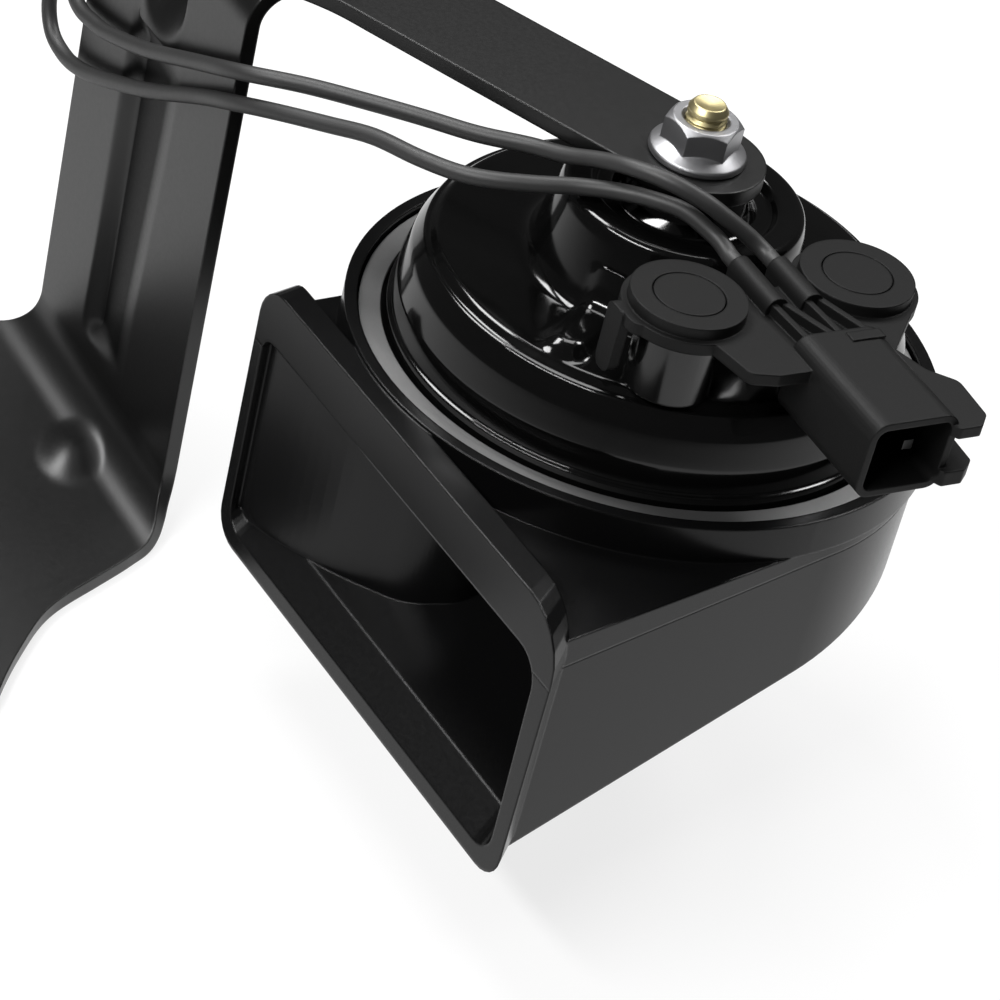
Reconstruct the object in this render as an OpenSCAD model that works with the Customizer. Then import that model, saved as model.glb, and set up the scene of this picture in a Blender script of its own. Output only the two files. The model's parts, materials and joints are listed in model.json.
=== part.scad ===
// Spiral-trumpet car horn on a folded sheet bracket, with a two-pin terminal cover and two leads.
// Frame: millimetres, +Z up along the horn's stud, mouth facing -Y.
// Origin: underside of the bracket foot, on the axis of its bolt hole.

/* [Placing] */
// Horn axis ahead of the bolt hole, along X
horn_x = 66; // [60:0.5:72]
// Horn axis ahead of the bolt hole, along Y
horn_y = 86; // [80:0.5:92]
// Diaphragm plane (top of the trumpet rim) above the foot's underside
horn_z = 66.4; // [60:0.2:75]

/* [Trumpet] */
// Outer radius of the rim band
rim_r = 44.7; // [43:0.1:48]
// Height of the rim band
rim_h = 5.9; // [5:0.1:7]
// Thickness of the rim's lip round the clamp ring
rim_lip = 1.9; // [1.2:0.1:2.2]
// Depth of the diaphragm seat under the rim's top
seat_depth = 4.2; // [3.8:0.1:4.8]
// Step in from the rim band to the duct's round wall
duct_inset = 0.9; // [0.5:0.1:2]
// Angle at which the right wall flares towards the mouth
flare_deg = 7.8; // [4:0.1:10]
// Wall of the duct
duct_wall = 2.2; // [1.6:0.1:3]
// Distance by which the mouth's front plane stands ahead of the rim
mouth_ahead = 3.3; // [2:0.1:6]
// Left side of the mouth, from the horn axis
mouth_left = 29; // [24:0.5:31]
// Distance by which the mouth's lip stands out to the right of the rim
mouth_over = 9.3; // [8:0.1:12]
// Lowest edge of the mouth's lip under the rim's top
mouth_drop = 46.9; // [44:0.1:50]
// Depth of the duct's underside below the rim's top, at the horn axis
belly_drop = 31.7; // [28:0.1:34]
// Rise of the underside per millimetre towards the back
belly_slope = 0.25; // [0.18:0.01:0.28]
// Length over which the mouth's lip flares out
lip_len = 5; // [3:0.5:8]
// Thickness of the mouth's lip
lip_t = 2.3; // [1.8:0.1:3]
// Height of the brow's front face above the mouth
brow_h = 8.5; // [7:0.1:9.5]
// Radius of the throat hole under the diaphragm
throat_r = 6; // [5:0.1:7]
// Radius of the throat chamber at the end of the duct
chamber_r = 9.5; // [8.5:0.1:11]

/* [Housing] */
// Thickness of the housing's sheet
shell_t = 1.2; // [0.8:0.1:1.5]
// Distance from the rim's outside to the foot of the housing's dome
dome_inset = 6.9; // [6:0.1:8]
// Height of the housing's deck over the rim's top
deck_z = 13.4; // [12:0.1:15]
// Radius of the boss over the coil
boss_r = 17.6; // [16.5:0.1:19]
// Height of the boss over the rim's top
boss_z = 26; // [24.5:0.1:27.5]
// Height of the strap's seat over the rim's top
seat_z = 29.9; // [29:0.1:31]
// Radius of the strap's seat
seat_r = 7; // [6:0.1:8]
// Width of the pressed rib beside the boss
rib_w = 6.8; // [5:0.1:8]
// Height of the pressed rib
rib_h = 1.9; // [1:0.1:2.5]
// Angle of the pressed rib round the horn axis
rib_deg = -62; // [-70:1:-50]

/* [Clamped stack] */
// Thickness of the diaphragm's gasket
gasket_t = 0.6; // [0.4:0.1:0.8]
// Thickness of the diaphragm
diaphragm_t = 0.4; // [0.3:0.1:0.5]
// Thickness of the bare clamp ring
ring_t = 0.9; // [0.6:0.1:1.2]
// Width of the bare clamp ring
ring_w = 3.2; // [2.6:0.1:3.8]

/* [Coil and armature] */
// Diameter of the stud's thread
stud_d = 6; // [5:0.5:6]
// Top of the stud over the rim's top
stud_top = 40.7; // [39.5:0.1:43]
// Radius of the fixed core
core_r = 5.8; // [5:0.1:6.2]
// Gap between the fixed core and the armature
air_gap = 1.4; // [1.2:0.1:2]
// Radius of the coil's bobbin
coil_r = 15.4; // [13:0.1:16]
// Height of the coil's bobbin
coil_h = 14; // [12:0.5:15]
// Radius of the armature
armature_r = 5.6; // [4.8:0.1:5.8]
// Running gap round the armature and the core
run_gap = 0.5; // [0.3:0.1:0.7]

/* [Nut] */
// Radius of the nut's flange
nut_flange_r = 7.1; // [6.6:0.1:8]
// Width of the nut across its flats
nut_af = 10; // [9.5:0.1:11]
// Height of the nut
nut_h = 6; // [5:0.1:6.5]

/* [Bracket] */
// Thickness of the bracket's sheet
sheet_t = 2.4; // [2:0.1:3]
// Half the width of the strap
strap_half = 10.2; // [9:0.1:11]
// Direction of the strap from the stud
strap_deg = 202.3; // [200:0.1:205]
// Right edge of the leg from the horn axis
leg_x = -55.3; // [-58:0.1:-54]
// Front face of the leg from the horn axis
leg_y = -42; // [-46:0.5:-40]
// Turn of the leg about the vertical
leg_deg = -3; // [-5:0.5:0]
// Width of the leg at its top bend
leg_top_w = 50.3; // [46:0.1:54]
// Width of the leg at its bottom bend
leg_foot_w = 60; // [54:0.5:64]
// Inner radius of the bottom bend
foot_bend_r = 7.5; // [6:0.5:9]
// Inner radius of the top bend
top_bend_r = 5; // [4:0.5:7]
// Depth of the channel pressed in the leg
channel_depth = 1.5; // [1:0.1:1.8]
// Radius of the dent pressed across the top bend
dent_r = 6.5; // [4:0.5:8]
// Height of the boss pressed up beside the bottom bend
gusset_h = 3; // [2:0.5:4]
// Diameter of the foot's bolt hole
bolt_d = 8.5; // [6.5:0.5:10]

/* [Terminals] */
// Top of the terminal cover over the rim's top
cover_z = 28; // [27.5:0.1:29]
// Turn of the cover about the vertical
cover_deg = -4.1; // [-6:0.1:0]
// Distance between the terminals
terminal_pitch = 27.6; // [26:0.1:30]
// Radius of each cap over a terminal
cap_r = 8.3; // [7.8:0.1:9]
// Radius of the plug inset in each cap
plug_r = 5; // [4.5:0.1:5.6]
// Radius of each terminal's insulating bush
bush_r = 6.1; // [5.5:0.1:6.5]
// Radius of each terminal rivet
rivet_r = 2; // [1.5:0.1:2.5]
// Width of the socket that the loom's plug enters
socket_w = 14.2; // [13.5:0.1:15]
// Height of the socket's shell
socket_h = 12.1; // [11.5:0.1:12.5]
// Far end of the socket from the line between the terminals
socket_end = 32.6; // [30:0.1:36]
// Depth of the socket
socket_depth = 14; // [12:0.5:16]
// Wall of the socket
socket_wall = 1.1; // [0.9:0.1:1.5]
// Thickness of each pin
pin_t = 1.6; // [1.2:0.1:2]
// Distance between the pins
pin_pitch = 6.2; // [5.5:0.1:6.5]

/* [Leads] */
// Diameter of each lead
lead_d = 2.5; // [2:0.1:2.8]

/* [Hidden] */
$fn = 64;
// Overshoot that makes cuts pass cleanly through a face
cut = 1;

// Heights of the clamped stack, from the trumpet's seat upwards
gasket_z = -seat_depth;
diaphragm_z = gasket_z + gasket_t;
flange_z = diaphragm_z + diaphragm_t;
ring_z = flange_z + shell_t;
// Outer radius of what lies inside the rim's lip
stack_r = rim_r - rim_lip - 0.4;
ring_in_r = stack_r - ring_w;
// Inner radius of the trumpet's seat
seat_in_r = ring_in_r - 1;
// Sizes that follow the rim
duct_r = rim_r - duct_inset;
dome_r = rim_r - dome_inset;
mouth_y = rim_r + mouth_ahead;
mouth_right = rim_r + mouth_over;
// Underside of the plate between diaphragm and duct
ceiling_z = -rim_h - 2.2;
// The joint between the two trumpet mouldings: level at the back, lower at the mouth
seam_z = ceiling_z - 0.3;
seam_slope = 0.045;
seam_turn_y = 6;
// Back and top of the brow over the mouth
brow_back_y = -mouth_y + 4.5;
brow_top = -0.5;

// Depth of the annular groove in the boss's top
groove_depth = 0.8;
// Deck and boss undersides
deck_under = deck_z - shell_t;
boss_under = boss_z - shell_t;
// Stations of the coil and armature
coil_top = boss_under - groove_depth;
coil_bottom = coil_top - coil_h;
bore_r = armature_r + run_gap;
core_bottom = coil_bottom + 1.5;
armature_top = core_bottom - air_gap;
collar_z = 4.4;
collar_r = 8;

// Unit vectors and corner rounding
function unit(v) = v / norm(v);
function flat(p) = [p.x, p.y];
function arc(c, r, a0, a1, n) =
    [for (i = [0:n]) let (a = a0 + (a1 - a0) * i / n) c + r * [cos(a), sin(a)]];
function corner(a, b, c, r, n) =
    r <= 0 ? [b] :
    let (u = unit(a - b), v = unit(c - b), half = acos(u * v) / 2)
    let (centre = b + unit(u + v) * r / sin(half))
    let (p = b + u * r / tan(half) - centre, q = b + v * r / tan(half) - centre)
    let (a0 = atan2(p.y, p.x), turn = (atan2(q.y, q.x) - a0 + 540) % 360 - 180)
    arc(centre, r, a0, a0 + turn, n);
// Closed outline whose corners [x, y, radius] are rounded
function rounded(p, n = 6) =
    let (last = len(p))
    [for (k = [0:last - 1])
        each corner(flat(p[(k + last - 1) % last]), flat(p[k]), flat(p[(k + 1) % last]), p[k].z, n)];
// Open path with rounded corners
function bent(p, n = 6) = concat([flat(p[0])],
    [for (k = [1:len(p) - 2]) each corner(flat(p[k - 1]), flat(p[k]), flat(p[k + 1]), p[k].z, n)],
    [flat(p[len(p) - 1])]);
function along(p, i) = unit(p[min(i + 1, len(p) - 1)] - p[max(i - 1, 0)]);
// Sheet of thickness t on the left side of an open path
function sheet(p, t) = concat(p,
    [for (i = [len(p) - 1:-1:0]) p[i] + t * [-along(p, i).y, along(p, i).x]]);

module ring(outer, inner, low, high) {
    translate([0, 0, low])
        difference() {
            cylinder(h = high - low, r = outer);
            translate([0, 0, -cut])
                cylinder(h = high - low + 2 * cut, r = inner);
        }
}

module disc(r, low, high) {
    translate([0, 0, low])
        cylinder(h = high - low, r = r);
}

// Puts a piece given about the horn's axis and rim plane into the part's frame
module in_horn() {
    translate([horn_x, horn_y, horn_z])
        children();
}

// Outline of the mouth's frame, seen from the front
function mouth_outline(left, right_top, right_low, top, low, r_left, r_right, r_low) = rounded([
    [-left, top, r_left],
    [right_top, top, r_right],
    [right_low, low, r_low],
    [-left, low, r_low]]);

module mouth_slice(outline, y) {
    translate([0, y, 0])
        rotate([90, 0, 0])
            linear_extrude(0.02, center = true)
                polygon(outline);
}

function right_wall_x(y) = (duct_r - y * sin(flare_deg)) / cos(flare_deg);
function belly_z(y) = -belly_drop + belly_slope * y;

// Solid frame round the mouth, before its opening is cut
module mouth_frame() {
    hull() {
        mouth_slice(mouth_outline(mouth_left, mouth_right, mouth_right - 0.8, brow_top, -mouth_drop, 5.5, 9, 5),
            -mouth_y + 0.01);
        mouth_slice(mouth_outline(mouth_left, right_wall_x(brow_back_y), right_wall_x(brow_back_y) - 0.4,
            brow_top, belly_z(brow_back_y), 4, 8, 2), brow_back_y);
    }
}

module mouth_opening() {
    hull() {
        mouth_slice(mouth_outline(mouth_left - lip_t, mouth_right - 3.5, mouth_right - 0.8 - lip_t,
            brow_top - brow_h, -mouth_drop + lip_t, 3, 5, 4), -mouth_y - cut);
        mouth_slice(mouth_outline(mouth_left - lip_t, right_wall_x(-mouth_y + lip_len) - duct_wall,
            right_wall_x(-mouth_y + lip_len) - duct_wall, ceiling_z, belly_z(-mouth_y + lip_len) + duct_wall,
            1, 3, 3), -mouth_y + lip_len);
    }
}

// Plan of the duct, drawn inwards by w from its outer face
module duct_plan(w) {
    reach = mouth_y - 1;
    left_y = -sqrt(pow(duct_r, 2) - pow(mouth_left, 2));
    circle(r = duct_r - w, $fn = 96);
    polygon([
        [0, 0],
        [-mouth_left + w, left_y + w],
        [-mouth_left + w, -reach],
        [right_wall_x(-reach) - w, -reach],
        [(duct_r - w) * cos(flare_deg), (duct_r - w) * sin(flare_deg)]]);
}

// Block under the tilted belly plane raised by w
module below_belly(w) {
    rotate([90, 0, 90])
        linear_extrude(4 * rim_r, center = true)
            polygon([
                [-2 * rim_r, belly_z(-2 * rim_r) + w],
                [2 * rim_r, belly_z(2 * rim_r) + w],
                [2 * rim_r, -3 * rim_r],
                [-2 * rim_r, -3 * rim_r]]);
}

// Everything above the joint between the trumpet's two mouldings
module above_seam() {
    rotate([90, 0, 90])
        linear_extrude(4 * rim_r, center = true)
            polygon([
                [-2 * rim_r, seam_z - seam_slope * (2 * rim_r + seam_turn_y)],
                [seam_turn_y, seam_z],
                [2 * rim_r, seam_z],
                [2 * rim_r, rim_r],
                [-2 * rim_r, rim_r]]);
}

// Front face of the wall that divides the mouth from the inner turn, and wraps the throat
nose = [8.2, 19 - mouth_y];
wrap_from = -8;
wrap_to = 200;
divider = concat(
    bent([
        [1.5 - mouth_left, 1.5 - mouth_y, 0],
        [-10.9, 4.6 - mouth_y, 60],
        [nose.x - 4, nose.y - 6.6, 12],
        [nose.x, nose.y, 6],
        [nose.x - 0.6, nose.y + 13, 20],
        [chamber_r, wrap_from, 0]], 8),
    arc([0, 0], chamber_r, wrap_from, wrap_to, 24));

// Outer face of the crescent that narrows the duct as it turns
crescent_to = 215;
crescent_w = 15;
function crescent_r(a) = chamber_r + 2 + crescent_w * (a - wrap_from) / (crescent_to - wrap_from);
// The crescent's plan, with its tips drawn in where it is drawn inwards by w
module crescent(w) {
    tip_from = wrap_from + w * 4;
    tip_to = w * 3;
    polygon(concat(
        [for (a = [tip_from:8:crescent_to - tip_to]) (crescent_r(a) - w) * [cos(a), sin(a)]],
        arc([0, 0], chamber_r + (w - duct_wall) / 2, wrap_to - tip_to, tip_from, 20)));
}

module trumpet_walls() {
    polygon(sheet(divider, duct_wall));
    crescent(0);
}

// Both trumpet mouldings in one, to be parted at their joint
module trumpet_whole() {
    difference() {
        union() {
            difference() {
                translate([0, 0, -3 * rim_r])
                    linear_extrude(3 * rim_r - rim_h)
                        duct_plan(0);
                below_belly(0);
            }
            disc(rim_r, -rim_h, 0);
            mouth_frame();
        }
        difference() {
            translate([0, 0, -3 * rim_r])
                linear_extrude(3 * rim_r + ceiling_z)
                    duct_plan(duct_wall);
            below_belly(duct_wall);
            translate([0, 0, -3 * rim_r])
                linear_extrude(3 * rim_r)
                    trumpet_walls();
        }
        mouth_opening_clear();
    }
}

module mouth_opening_clear() {
    difference() {
        mouth_opening();
        translate([0, 0, -3 * rim_r])
            linear_extrude(3 * rim_r)
                polygon(sheet(divider, duct_wall));
    }
}

module trumpet_top() {
    color([0.05, 0.05, 0.055])
        in_horn()
            difference() {
                intersection() {
                    trumpet_whole();
                    above_seam();
                }
                disc(rim_r - rim_lip, gasket_z, cut);
                disc(seat_in_r, -rim_h - 0.3, gasket_z + cut);
                disc(throat_r, ceiling_z - cut, 0);
            }
}

module trumpet_duct() {
    color([0.04, 0.04, 0.045])
        in_horn()
            difference() {
                trumpet_whole();
                above_seam();
                translate([0, 0, -3 * rim_r])
                    linear_extrude(3 * rim_r)
                        crescent(duct_wall);
            }
}

module gasket() {
    color([0.12, 0.12, 0.12])
        in_horn()
            ring(stack_r, seat_in_r, gasket_z, diaphragm_z);
}

module diaphragm() {
    color([0.6, 0.6, 0.62])
        in_horn()
            ring(stack_r, 2.5, diaphragm_z, flange_z);
}

module clamp_ring() {
    color([0.62, 0.62, 0.62])
        in_horn()
            ring(stack_r, ring_in_r, ring_z, ring_z + ring_t);
}

// Outer face of the housing from its flange to the strap's seat, as [radius, height]
housing_face = bent([
    [stack_r, ring_z, 0],
    [ring_in_r - 0.7, ring_z, 0.5],
    [ring_in_r - 0.7, 0.3, 0.3],
    [dome_r + 0.3, 0.5, 0.5],
    [dome_r, 4.6, 1.5],
    [dome_r - 1, 9, 4],
    [dome_r - 2.4, deck_z - 1.2, 0.8],
    [dome_r - 3.2, deck_z - 1.2, 0.3],
    [dome_r - 4.2, deck_z, 0.8],
    [boss_r + 2.8, deck_z, 2.6],
    [boss_r + 0.4, boss_z - 2, 8],
    [boss_r - 0.2, boss_z, 1.4],
    [13.6, boss_z, 0.6],
    [12.8, boss_z - groove_depth, 0.6],
    [10.6, boss_z - groove_depth, 0.8],
    [9.4, boss_z, 1],
    [seat_r + 0.6, seat_z, 0.6],
    [stud_d / 2 + 0.1, seat_z, 0]], 6);

module pressed_rib() {
    rotate([0, 0, rib_deg])
        translate([0, 0, deck_z - 0.2])
            hull()
                for (r = [boss_r, dome_r - 7.8])
                    translate([r, 0, 0])
                        cylinder(h = rib_h, r1 = rib_w / 2, r2 = rib_w / 2 - 0.9, $fn = 32);
}

module housing() {
    color([0.02, 0.02, 0.02])
        in_horn() {
            difference() {
                union() {
                    rotate_extrude($fn = 128)
                        polygon(sheet(housing_face, shell_t));
                    difference() {
                        pressed_rib();
                        disc(boss_r - 1, 0, boss_z - 2);
                    }
                }
                on_cover()
                    for (side = [-1, 1])
                        translate([0, side * terminal_pitch / 2, 0])
                            disc(rivet_r + 0.6, 0, deck_z + cut);
            }
        }
}

module core_stud() {
    color([0.78, 0.68, 0.35])
        in_horn() {
            disc(core_r, core_bottom, boss_under);
            disc(seat_r - 2, boss_under, seat_z - shell_t);
            disc(stud_d / 2, seat_z - shell_t, stud_top - 2.2);
            translate([0, 0, stud_top - 2.2])
                cylinder(h = 0.8, r1 = stud_d / 2, r2 = stud_d * 0.36);
            disc(stud_d * 0.36, stud_top - 1.4, stud_top);
        }
}

module armature() {
    color([0.6, 0.6, 0.6])
        in_horn() {
            disc(armature_r, flange_z, armature_top);
            disc(collar_r, collar_z - 0.6, collar_z);
            disc(2.5, diaphragm_z - 1.6, flange_z);
        }
}

module armature_washer() {
    color([0.7, 0.7, 0.7])
        in_horn()
            ring(4.6, 2.5, diaphragm_z - 0.8, diaphragm_z);
}

bobbin_wall = 1.2;
module coil_bobbin() {
    color([0.85, 0.82, 0.75])
        in_horn() {
            ring(bore_r + bobbin_wall, bore_r, coil_bottom, coil_top);
            ring(coil_r, bore_r, coil_bottom, coil_bottom + bobbin_wall);
            ring(coil_r, bore_r, coil_top - bobbin_wall, coil_top);
        }
}

module coil_winding() {
    color([0.55, 0.25, 0.1])
        in_horn()
            ring(coil_r - 0.8, bore_r + bobbin_wall, coil_bottom + bobbin_wall, coil_top - bobbin_wall);
}

// Breaker: stacked at the left of the armature under the deck
stack_x = 10.8 - dome_r;
point_x = -15;
fixed_arm_z = 1.8;
point_h = 1.2;
fixed_arm_t = 0.8;
moving_arm_t = 0.4;
moving_arm_z = fixed_arm_z + fixed_arm_t + 2 * point_h;
arm_w = 6;

module breaker_part(low, high, x_to, w) {
    difference() {
        translate([stack_x - w / 2, -w / 2, low])
            cube([x_to - stack_x + w / 2, w, high - low]);
        translate([stack_x, 0, low - cut])
            cylinder(h = high - low + 2 * cut, r = 1.5);
    }
}

module breaker_bracket() {
    color([0.6, 0.6, 0.6])
        in_horn() {
            breaker_part(moving_arm_z + moving_arm_t + 1.2, moving_arm_z + moving_arm_t + 2.2, stack_x + 4, 8);
            translate([stack_x + 4, -4, moving_arm_z + moving_arm_t + 1.2])
                cube([1, 8, deck_under - moving_arm_z - moving_arm_t - 1.2]);
            translate([stack_x + 4, -4, deck_under - 1])
                cube([5, 8, 1]);
        }
}

module breaker_insulators() {
    color([0.5, 0.25, 0.12])
        in_horn() {
            breaker_part(fixed_arm_z - 1.2, fixed_arm_z, stack_x + 3.5, 7);
            breaker_part(fixed_arm_z + fixed_arm_t, moving_arm_z, stack_x + 3.5, 7);
            breaker_part(moving_arm_z + moving_arm_t, moving_arm_z + moving_arm_t + 1.2, stack_x + 3.5, 7);
        }
}

module breaker_rivet() {
    color([0.7, 0.6, 0.3])
        in_horn()
            translate([stack_x, 0, 0]) {
                disc(1.5, fixed_arm_z - 1.2, moving_arm_z + moving_arm_t + 2.2);
                disc(2.6, fixed_arm_z - 2, fixed_arm_z - 1.2);
                disc(2.6, moving_arm_z + moving_arm_t + 2.2, moving_arm_z + moving_arm_t + 3);
            }
}

module fixed_arm() {
    color([0.7, 0.6, 0.3])
        in_horn()
            breaker_part(fixed_arm_z, fixed_arm_z + fixed_arm_t, point_x + 2.4, arm_w);
}

module moving_arm() {
    color([0.75, 0.62, 0.35])
        in_horn()
            breaker_part(moving_arm_z, moving_arm_z + moving_arm_t, -armature_r - 0.8, arm_w);
}

module fixed_contact() {
    color([0.75, 0.75, 0.78])
        in_horn()
            translate([point_x, 0, 0])
                disc(1.8, fixed_arm_z + fixed_arm_t, fixed_arm_z + fixed_arm_t + point_h);
}

module moving_contact() {
    color([0.75, 0.75, 0.78])
        in_horn()
            translate([point_x, 0, 0])
                disc(1.8, moving_arm_z - point_h, moving_arm_z);
}

// Bracket: leg frame has u along the leg's width and n towards the front
foot_top = -horn_z + sheet_t;
strap_top = seat_z + sheet_t;
foot_reach = 58;
flange_back = 80;
bend_low_z = foot_top + foot_bend_r;
bend_top_z = seat_z - top_bend_r;
bend_out_r = top_bend_r + sheet_t;

// Side section of the folded sheet, as [towards the front, height]
bracket_front = concat(
    [[foot_reach, foot_top]],
    arc([foot_bend_r, bend_low_z], foot_bend_r, 270, 180, 10),
    arc([-bend_out_r, bend_top_z], bend_out_r, 0, 90, 10),
    [[-flange_back, strap_top]]);
bracket_back = concat(
    [[-flange_back, seat_z]],
    arc([-bend_out_r, bend_top_z], top_bend_r, 90, 0, 10),
    arc([foot_bend_r, bend_low_z], foot_bend_r + sheet_t, 180, 270, 10),
    [[foot_reach, -horn_z]]);

// Places children drawn with X along the leg's width and Y away from its front face
module on_leg() {
    translate([leg_x, leg_y, 0])
        rotate([0, 0, leg_deg])
            children();
}

module folded_sheet() {
    on_leg()
        rotate([90, 0, -90])
            linear_extrude(3 * leg_foot_w, center = true)
                polygon(concat(bracket_front, bracket_back));
}

// Where the edges of the leg spread out into the foot
foot_flare = 0.7;
foot_join_z = bend_low_z - 3;
flange_join_z = bend_top_z - 2;

module leg_outline() {
    on_leg()
        rotate([90, 0, 0])
            linear_extrude(60, center = true)
                polygon([
                    [0, flange_join_z],
                    [0, -50],
                    [foot_flare, foot_join_z],
                    [-leg_foot_w, foot_join_z],
                    [3.5 - leg_foot_w, foot_join_z + 1.8],
                    [-leg_top_w - 3.2, foot_join_z + 6],
                    [-leg_top_w - 0.9, -47],
                    [-leg_top_w, -34],
                    [-leg_top_w, flange_join_z]]);
}

module foot_outline() {
    on_leg()
        translate([0, 0, -horn_z - cut])
            linear_extrude(foot_join_z + horn_z + cut)
                polygon(rounded([
                    [-leg_foot_w, 30, 0],
                    [-leg_foot_w, -57, 6],
                    [38.5, -57, 5],
                    [38, -43.5, 4],
                    [17.9, -26.5, 14],
                    [8.6, -5.6, 5],
                    [foot_flare, -0.5, 3],
                    [foot_flare, 30, 0]]));
}

// A point given about the horn's axis, in the leg's own directions
function to_leg(p) =
    let (d = p - [leg_x, leg_y])
    [d.x * cos(leg_deg) + d.y * sin(leg_deg), d.y * cos(leg_deg) - d.x * sin(leg_deg)];
// A point on the strap: distance from the stud, and from the strap's centre line
function on_strap(reach, side) =
    to_leg(reach * [cos(strap_deg), sin(strap_deg)] + side * [-sin(strap_deg), cos(strap_deg)]);

module flange_outline() {
    near = on_strap(46, strap_half);
    far = on_strap(54, -strap_half);
    tip_near = on_strap(0, strap_half);
    tip_far = on_strap(0, -strap_half);
    stud = on_strap(0, 0);
    on_leg()
        translate([0, 0, flange_join_z])
            linear_extrude(strap_top - flange_join_z + cut) {
                polygon(rounded([
                    [0, -30, 0],
                    [0, 6, 3],
                    [near.x, near.y, 6],
                    [tip_near.x, tip_near.y, 0],
                    [tip_far.x, tip_far.y, 0],
                    [far.x, far.y, 8],
                    [-12, 28, 10],
                    [-leg_top_w, 28, 6],
                    [-leg_top_w, -30, 0]]));
                translate(stud)
                    circle(r = strap_half);
            }
}

// Edges of the channel on the leg's front face, and the run of its sloping walls
channel_in = -16.4;
channel_out = -34.5;
channel_low = -51.5;
channel_high = 6;
channel_run = 2.6;

module channel_slice(inset, depth) {
    translate([0, depth, 0])
        rotate([90, 0, 0])
            linear_extrude(0.02)
                polygon(rounded([
                    [channel_out + inset, channel_low + inset, 6 - inset],
                    [channel_in - inset, channel_low + inset, 6 - inset],
                    [channel_in - inset, channel_high - inset, 6 - inset],
                    [channel_out + inset, channel_high - inset, 6 - inset]]));
}

// The pressed channel, moved back into the sheet by lift
module channel(lift) {
    on_leg()
        translate([0, lift, 0])
            hull() {
                channel_slice(0, 0.01);
                channel_slice(channel_run, channel_depth);
            }
}

// Dent pressed into the outside of the top bend; it slopes back from the leg's face
dent_low = 9;
dent_s = -25.4;
dent_deg = 28;
dent_len = 60;
module in_dent() {
    on_leg()
        translate([dent_s, -dent_r * cos(dent_deg), dent_low + dent_r * sin(dent_deg)])
            rotate([-dent_deg, 0, 0])
                children();
}
module dent() {
    in_dent() {
        cylinder(h = dent_len, r = dent_r, center = true, $fn = 48);
        translate([-dent_r, -dent_len / 2, -dent_len / 2])
            cube([2 * dent_r, dent_len / 2, dent_len]);
    }
}

// The sheet pushed back behind the dent
module dent_wall() {
    intersection() {
        in_dent()
            cylinder(h = dent_len, r = dent_r + sheet_t - 0.4, center = true, $fn = 48);
        on_leg()
            rotate([90, 0, -90])
                linear_extrude(3 * leg_foot_w, center = true)
                    polygon([[-0.5, 0], [-0.5, bend_top_z], [-bend_out_r, strap_top - 0.5], [-30, strap_top - 0.5],
                        [-30, seat_z], [-sheet_t + 0.01, 0]]);
    }
}

// Round boss pressed up from the foot beside the bottom bend
gusset_at = [-15.5, -8.2];
gusset_w = 7;
gusset_r = (pow(gusset_w, 2) + pow(gusset_h, 2)) / (2 * gusset_h);
module gusset(r) {
    on_leg()
        translate([gusset_at.x, gusset_at.y, foot_top + gusset_h - gusset_r])
            sphere(r = r, $fn = 64);
}

module bracket() {
    color([0.05, 0.05, 0.05])
        in_horn()
            difference() {
                union() {
                    intersection() {
                        folded_sheet();
                        union() {
                            leg_outline();
                            foot_outline();
                            flange_outline();
                        }
                    }
                    channel(sheet_t - 0.05);
                    dent_wall();
                    intersection() {
                        gusset(gusset_r);
                        disc(5 * rim_r, foot_top - sheet_t / 2, foot_top + 2 * gusset_h);
                    }
                }
                channel(-0.01);
                dent();
                gusset(gusset_r - sheet_t + 0.2);
                disc(stud_d / 2 + 0.25, seat_z - cut, strap_top + cut);
                translate([-horn_x, -horn_y, -horn_z - cut])
                    cylinder(h = sheet_t + 2 * cut, r = bolt_d / 2);
            }
}

module flange_nut() {
    color([0.75, 0.76, 0.78])
        in_horn()
            translate([0, 0, strap_top])
                difference() {
                    union() {
                        cylinder(h = 1.3, r = nut_flange_r);
                        translate([0, 0, 1.3])
                            cylinder(h = 1.2, r1 = nut_flange_r - 0.3, r2 = nut_af * 0.52);
                        intersection() {
                            cylinder(h = nut_h, r = nut_af / sqrt(3), $fn = 6);
                            cylinder(h = nut_h + 1.4, r1 = nut_flange_r + 6, r2 = nut_af * 0.46);
                        }
                    }
                    translate([0, 0, -cut])
                        cylinder(h = nut_h + 2 * cut, r = stud_d / 2);
                }
}

// The cover is drawn about the middle of the line between the terminals, with X towards the socket
cover_x = dome_r - 12;
cover_y = -2.9;
module on_cover() {
    translate([cover_x, cover_y, 0])
        rotate([0, 0, cover_deg])
            children();
}
function from_cover(p) = [
    cover_x + p.x * cos(cover_deg) - p.y * sin(cover_deg),
    cover_y + p.x * sin(cover_deg) + p.y * cos(cover_deg),
    p.z];
bush_top = cover_z - 3.6;
plate_top = cover_z - 1.8;
socket_y = 3.2;
socket_back = 12;
socket_low = cover_z - socket_h + 0.2;
socket_round = 2.6;
pin_z = socket_low + 4.6;
pin_back = socket_end - socket_depth - 5;

module at_terminal(side) {
    in_horn()
        on_cover()
            translate([0, side * terminal_pitch / 2, 0])
                children();
}

module plug_disc(side) { at_terminal(side) disc(plug_r, cover_z - 1.2, cover_z); }
module cap_plug_left() { color([0.07, 0.07, 0.07]) plug_disc(-1); }
module cap_plug_right() { color([0.07, 0.07, 0.07]) plug_disc(1); }

module bush(side) {
    at_terminal(side) {
        ring(bush_r, rivet_r, deck_z, bush_top);
        ring(rivet_r + 0.6, rivet_r, deck_under - 0.8, deck_z);
    }
}
module terminal_bush_left() { color([0.03, 0.03, 0.03]) bush(-1); }
module terminal_bush_right() { color([0.03, 0.03, 0.03]) bush(1); }

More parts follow.
